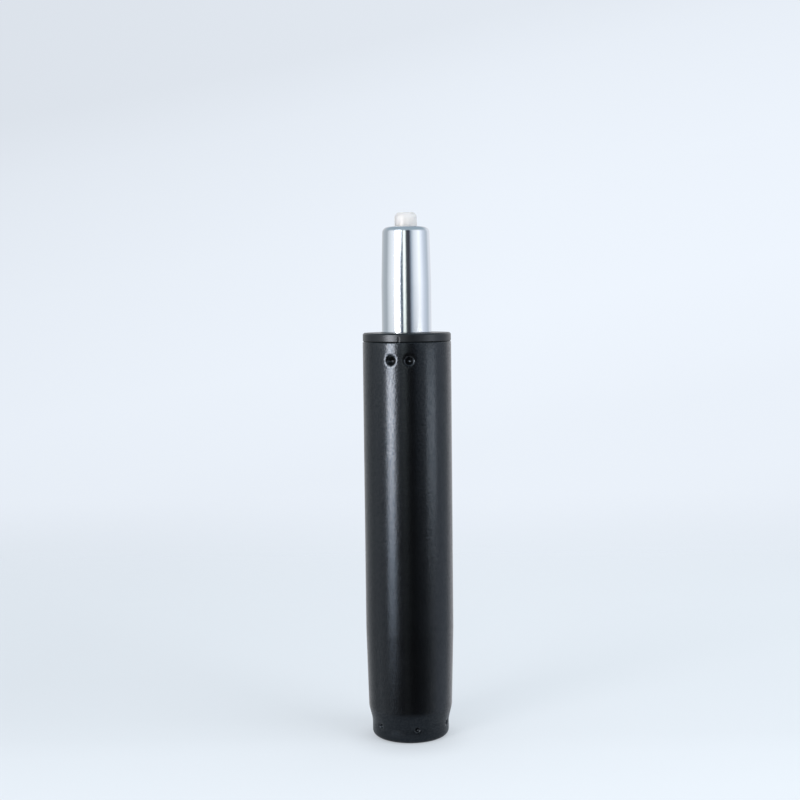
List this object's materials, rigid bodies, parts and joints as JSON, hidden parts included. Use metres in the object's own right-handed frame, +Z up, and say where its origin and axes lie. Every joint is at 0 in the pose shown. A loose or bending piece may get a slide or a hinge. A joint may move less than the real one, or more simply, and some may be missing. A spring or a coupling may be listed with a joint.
{
  "type": "gas lift cylinder",
  "caption": "Upright gas lift for a height-adjustable chair: black tapered stand tube, chromed pressure tube that slides and swivels in it, and a white release button on top.",
  "frame": {"origin": "centre of the foot, on the surface it stands on", "axes": "+Z up the lift's axis, -Y towards the collar's notch and the front crimps"},
  "size_m": [0.05, 0.05, 0.298],
  "materials": {
    "black_powder_coat": "satin, fine orange peel",
    "black_moulding": "satin",
    "chrome_plate": "bright",
    "white_nylon": "translucent satin",
    "zinc_steel": "zinc plated",
    "ground_steel": "ground and polished",
    "bearing_steel": "hardened and polished",
    "black_steel": "black oxide",
    "brass": "turned",
    "cast_zinc": "die cast",
    "black_rubber": "matte"
  },
  "bodies": {
    "column": {"column_tube": "black_powder_coat", "guide_bushing": "black_moulding", "base_cup": "zinc_steel", "lower_bearing_race": "bearing_steel"},
    "ball_ring": {"bearing_cage": "brass", "bearing_balls": "bearing_steel"},
    "rod": {"piston_rod": "ground_steel", "upper_bearing_race": "bearing_steel", "rubber_bumper": "black_rubber", "bumper_washer": "zinc_steel", "clip_washer": "zinc_steel", "retaining_clip": "black_steel", "piston": "cast_zinc", "piston_seal": "black_rubber", "piston_washer": "zinc_steel", "piston_nut": "zinc_steel"},
    "gas_cylinder": {"pressure_tube": "chrome_plate", "inner_tube": "ground_steel", "end_disc": "zinc_steel", "rod_seal": "black_rubber", "seal_backing_disc": "zinc_steel", "rod_guide": "cast_zinc", "rod_guide_o_ring": "black_rubber", "flow_disc": "cast_zinc", "valve_seat": "cast_zinc", "lower_pin_seal": "black_rubber", "valve_spacer": "zinc_steel", "upper_pin_seal": "black_rubber", "valve_body": "cast_zinc", "valve_o_ring": "black_rubber", "valve_retainer": "zinc_steel"},
    "release": {"valve_pin": "ground_steel", "release_button": "white_nylon"}
  },
  "joints": [
    {"name": "seat_swivel", "type": "hinge", "parent": "column", "child": "rod", "pos_m": [0, 0, 0.018], "axis": [0, 0, 1], "continuous": true},
    {"name": "ball_ring_spin", "type": "hinge", "parent": "column", "child": "ball_ring", "pos_m": [0, 0, 0.015], "axis": [0, 0, 1], "continuous": true},
    {"name": "height_slide", "type": "slide", "parent": "rod", "child": "gas_cylinder", "axis": [0, 0, 1], "range_m": [0, 0.12]},
    {"name": "button_press", "type": "slide", "parent": "gas_cylinder", "child": "release", "axis": [0, 0, -1], "range_m": [0, 0.005], "stiffness_N_per_m": 2000}
  ],
  "couplings": [
    {"joint": "ball_ring_spin", "follows": "seat_swivel", "ratio": 0.5}
  ]
}
